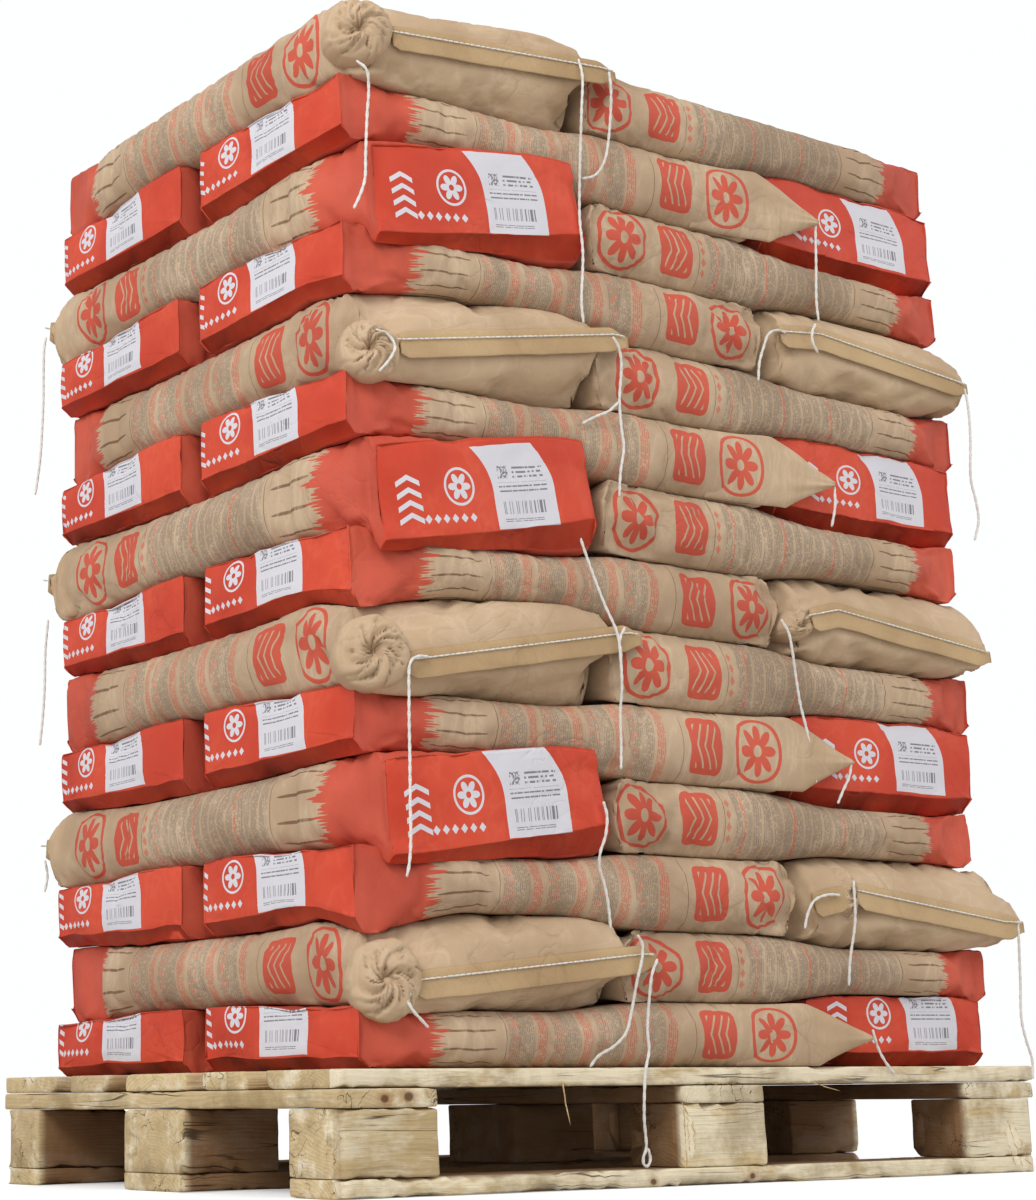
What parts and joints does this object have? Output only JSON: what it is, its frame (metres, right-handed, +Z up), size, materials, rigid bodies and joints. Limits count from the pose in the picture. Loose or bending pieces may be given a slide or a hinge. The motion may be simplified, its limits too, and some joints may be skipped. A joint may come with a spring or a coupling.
{
  "type": "pallet of sacks",
  "caption": "Wooden exchange pallet stacked with layers of filled kraft paper sacks, with red block bottoms and sewn, taped tops.",
  "frame": {"origin": "centre of the pallet's underside, on the bottom face of the middle runner", "axes": "+Z up; X along the pallet's long side and Y along its short side; the picture shows the long side that faces -Y and the short side that faces -X"},
  "size_m": [1.204, 0.8102, 1.4899],
  "materials": {
    "pallet_wood": "rough sawn and weathered",
    "kraft_sack": "matt kraft paper with red print",
    "cotton_thread": "matt twisted cotton"
  },
  "bodies": {
    "root": {"deck_board_1": "pallet_wood", "deck_board_2": "pallet_wood", "deck_board_3": "pallet_wood", "deck_board_4": "pallet_wood", "deck_board_5": "pallet_wood", "stringer_1": "pallet_wood", "stringer_2": "pallet_wood", "stringer_3": "pallet_wood", "runner_front": "pallet_wood", "runner_middle": "pallet_wood", "runner_back": "pallet_wood", "sack_01_cross": "kraft_sack", "sack_01_front": "kraft_sack", "sack_01_back": "kraft_sack", "sack_02_cross": "kraft_sack", "sack_02_front": "kraft_sack", "sack_02_back": "kraft_sack", "sack_03_cross": "kraft_sack", "sack_03_front": "kraft_sack", "sack_03_back": "kraft_sack", "sack_04_cross": "kraft_sack", "sack_04_front": "kraft_sack", "sack_04_back": "kraft_sack", "sack_05_cross": "kraft_sack", "sack_05_front": "kraft_sack", "sack_05_back": "kraft_sack", "sack_06_cross": "kraft_sack", "sack_06_front": "kraft_sack", "sack_06_back": "kraft_sack", "sack_07_cross": "kraft_sack", "sack_07_front": "kraft_sack", "sack_07_back": "kraft_sack", "sack_08_cross": "kraft_sack", "sack_08_front": "kraft_sack", "sack_08_back": "kraft_sack", "sack_09_cross": "kraft_sack", "sack_09_front": "kraft_sack", "sack_09_back": "kraft_sack", "sack_10_cross": "kraft_sack", "sack_10_front": "kraft_sack", "sack_10_back": "kraft_sack", "sack_11_cross": "kraft_sack", "sack_11_front": "kraft_sack", "sack_11_back": "kraft_sack", "sack_12_cross": "kraft_sack", "sack_12_front": "kraft_sack", "sack_12_back": "kraft_sack", "sack_13_cross": "kraft_sack", "sack_13_front": "kraft_sack", "sack_13_back": "kraft_sack", "sack_14_cross": "kraft_sack", "sack_14_front": "kraft_sack", "sack_14_back": "kraft_sack", "thread_14_right": "cotton_thread", "thread_08_front": "cotton_thread", "thread_06_left": "cotton_thread", "thread_02_right": "cotton_thread", "thread_12_back": "cotton_thread", "thread_11_right": "cotton_thread", "thread_03_right": "cotton_thread"}
  },
  "joints": []
}
